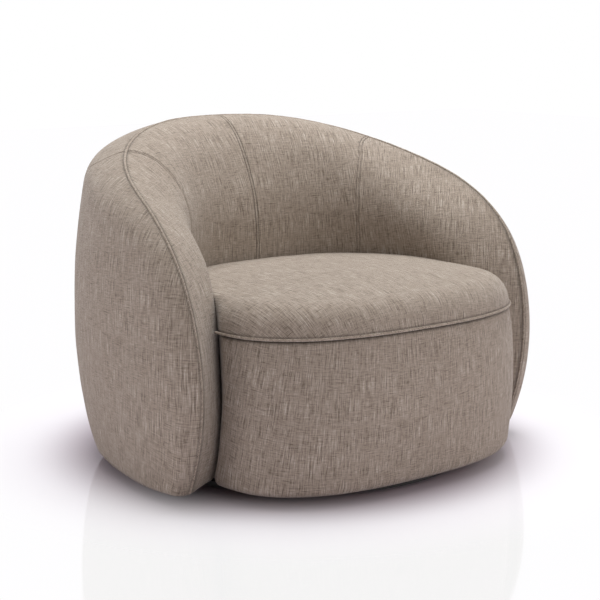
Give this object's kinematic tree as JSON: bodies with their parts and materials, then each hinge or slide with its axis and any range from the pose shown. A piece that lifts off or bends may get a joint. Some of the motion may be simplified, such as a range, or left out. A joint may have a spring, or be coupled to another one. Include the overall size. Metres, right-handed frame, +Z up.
{
  "type": "swivel barrel chair",
  "caption": "Upholstered swivel barrel armchair: rolled shell with a piped edge around a tight, piped drum seat, turning on a flat round plinth.",
  "frame": {"origin": "On the floor, under the middle of the chair's outline at rest (middle of the bounding box in X and Y, lowest point in Z).", "axes": "+X to the sitter's right, which is the right of the front view, +Y from the front of the seat to the back of the shell, +Z up; the seat faces -Y at rest."},
  "size_m": [0.9632, 0.9063, 0.7134],
  "materials": {
    "linen_taupe": "heathered linen-look cloth, plain weave, matt",
    "linen_piping": "bias-cut strips of the same cloth over cord, matt",
    "foam": "open-cell foam, matt",
    "felt_grey": "needled felt",
    "dust_cloth_black": "thin nonwoven cloth",
    "webbing": "woven elastic strap",
    "frame_plywood": "sanded plywood, unfinished",
    "liner_board": "smooth fibreboard",
    "plinth_black": "satin black stain and lacquer",
    "glide_plastic": "moulded, matt",
    "cage_plastic": "moulded, matt",
    "plate_steel": "black powder coat on pressed steel",
    "race_steel": "rolled steel, lightly greased",
    "ball_steel": "zinc plated",
    "spring_steel": "oil tempered wire"
  },
  "bodies": {
    "base": {"plinth": "plinth_black", "floor_glides": "glide_plastic", "swivel_lower_plate": "plate_steel", "lower_race": "race_steel", "bearing_balls": "ball_steel", "ball_cage": "cage_plastic", "king_bolt": "ball_steel", "lower_plate_screws": "ball_steel", "king_nut": "ball_steel"},
    "chair": {"swivel_upper_plate": "plate_steel", "upper_race": "race_steel", "upper_plate_bolts": "ball_steel", "tee_nuts": "ball_steel", "floor_board": "frame_plywood", "edge_battens": "frame_plywood", "dust_cloth": "dust_cloth_black", "seat_front_rail": "frame_plywood", "seat_side_rail_left": "frame_plywood", "seat_side_rail_right": "frame_plywood", "seat_back_rail": "frame_plywood", "corner_blocks": "frame_plywood", "seat_springs": "spring_steel", "spring_clips": "spring_steel", "spring_felt": "felt_grey", "seat_foam": "foam", "seat_cover": "linen_taupe", "seat_welt": "linen_piping", "front_pad": "foam", "front_cover": "linen_taupe", "top_rail": "frame_plywood", "arm_panel_left": "frame_plywood", "arm_panel_right": "frame_plywood", "back_posts": "frame_plywood", "back_webbing": "webbing", "outer_liner": "liner_board", "arm_nose_left": "foam", "arm_nose_right": "foam", "arm_pad_left": "foam", "arm_pad_right": "foam", "back_pad_left": "foam", "back_pad_right": "foam", "rim_roll_left": "foam", "rim_roll_right": "foam", "outer_pad_left": "foam", "outer_pad_right": "foam", "outer_cover_left": "linen_taupe", "outer_cover_back": "linen_taupe", "outer_cover_right": "linen_taupe", "inner_cover_arm_left": "linen_taupe", "inner_cover_back_left": "linen_taupe", "inner_cover_back_right": "linen_taupe", "inner_cover_arm_right": "linen_taupe", "shell_welt": "linen_piping"}
  },
  "joints": [
    {"name": "swivel", "type": "hinge", "parent": "base", "child": "chair", "pos_m": [0, -0.0504, 0.025], "axis": [0, 0, 1], "continuous": true}
  ]
}
